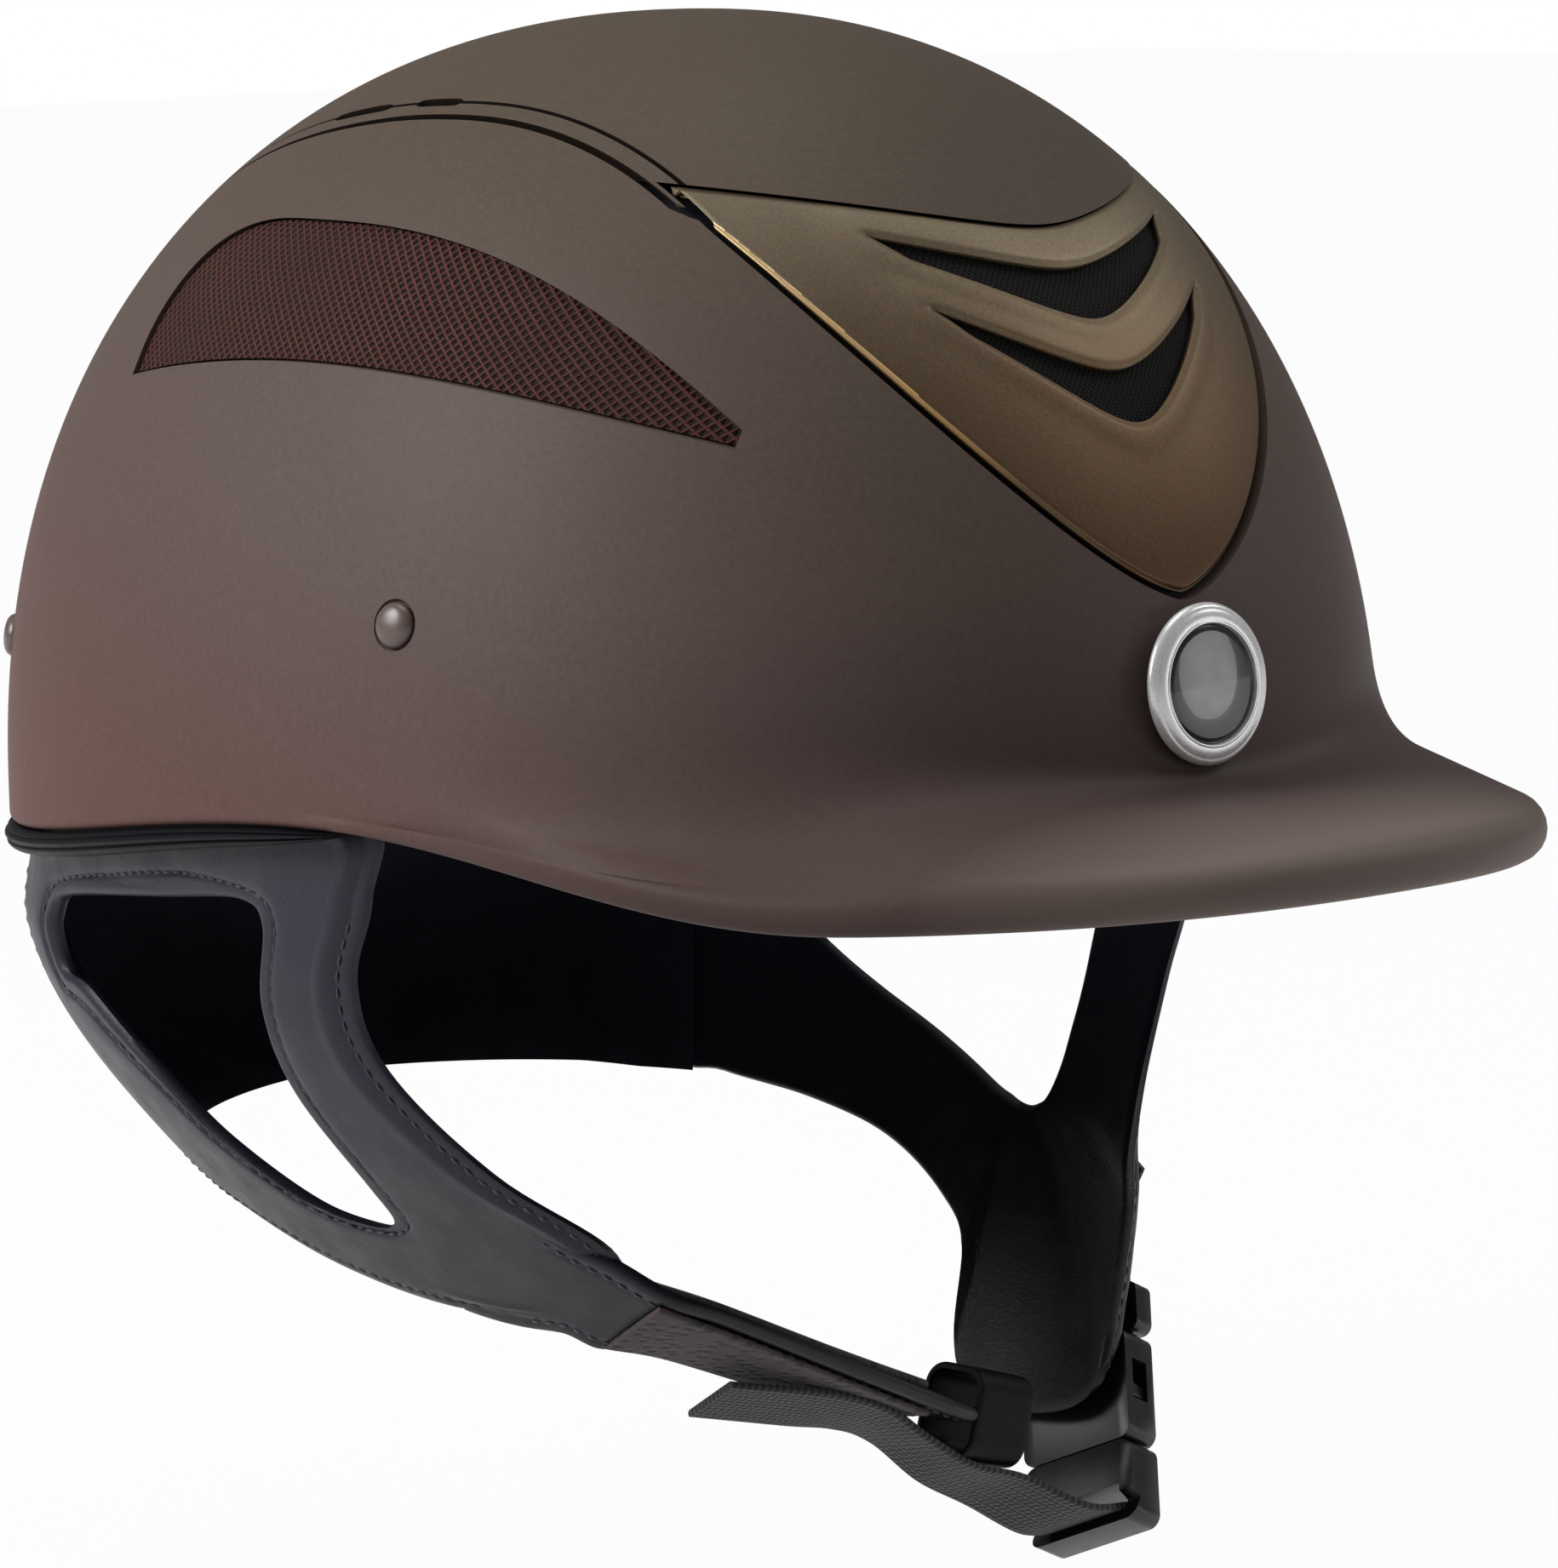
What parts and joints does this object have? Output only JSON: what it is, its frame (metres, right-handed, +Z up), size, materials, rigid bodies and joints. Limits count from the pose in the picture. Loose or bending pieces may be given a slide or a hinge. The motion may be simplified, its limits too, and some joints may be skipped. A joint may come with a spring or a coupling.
{
  "type": "riding helmet",
  "caption": "Peaked riding helmet with a slotted front panel, side vents, padded liner and a leather harness closed by a side-release buckle.",
  "frame": {"origin": "Centre of the head opening, at the height of the shell's lowest rim, on the plane of symmetry.", "axes": "+X to the wearer's left, -Y to the front with the peak, +Z up through the crown."},
  "size_m": [0.2186, 0.3283, 0.2895],
  "materials": {
    "shell": "matt, finely textured brown",
    "bronze": "satin metallic bronze",
    "slot_mesh": "dark open mesh",
    "vent_mesh": "woven, dark red-brown",
    "bright": "bright, slightly brushed",
    "disc": "black",
    "steel": "plain",
    "bead": "grey-black, ribbed",
    "foam": "black expanded foam",
    "lining": "black spacer mesh",
    "leather": "black-blue grained, stitched",
    "web": "black woven webbing",
    "buckle": "black, half gloss"
  },
  "bodies": {
    "helmet": {"outer_shell": "shell", "front_panel": "bronze", "front_mesh": "slot_mesh", "side_mesh_right": "vent_mesh", "side_mesh_left": "vent_mesh", "badge_bezel": "bright", "badge_disc": "disc", "shell_rivets": "shell", "rivet_washers": "steel", "rim_bead": "bead", "peak_lining": "lining", "foam_liner": "foam", "crown_pad": "lining", "brow_pad": "lining", "nape_pad": "lining", "nape_panel": "leather", "right_yoke": "leather", "left_yoke": "leather", "anchor_straps": "web", "chin_strap": "leather", "chin_cushion": "lining", "loop_patch": "web", "chin_webbing": "web", "strap_keeper": "buckle", "left_webbing": "web", "buckle_socket": "buckle"},
    "plug": {"buckle_plug": "buckle"},
    "front_prong": {"prong_front": "buckle"},
    "rear_prong": {"prong_rear": "buckle"},
    "adjuster": {"slide_adjuster": "buckle"}
  },
  "joints": [
    {"name": "buckle_release", "type": "slide", "parent": "helmet", "child": "plug", "axis": [-0.3822, -0.4351, -0.8152], "range_m": [0, 0.02], "deforming": ["prong_front", "prong_rear", "chin_webbing"]},
    {"name": "front_prong_press", "type": "hinge", "parent": "plug", "child": "front_prong", "pos_m": [0.05298, -0.05206, -0.11764], "axis": [-0.8973, -0.036, 0.4399], "range_deg": [0, 12.5], "stiffness_Nm_per_rad": 0.02},
    {"name": "rear_prong_press", "type": "hinge", "parent": "plug", "child": "rear_prong", "pos_m": [0.04949, -0.03785, -0.12359], "axis": [0.8973, 0.036, -0.4399], "range_deg": [0, 12.5], "stiffness_Nm_per_rad": 0.02},
    {"name": "adjuster_slide", "type": "slide", "parent": "helmet", "child": "adjuster", "axis": [0.3822, 0.4351, 0.8152], "range_m": [0, 0.01]}
  ]
}
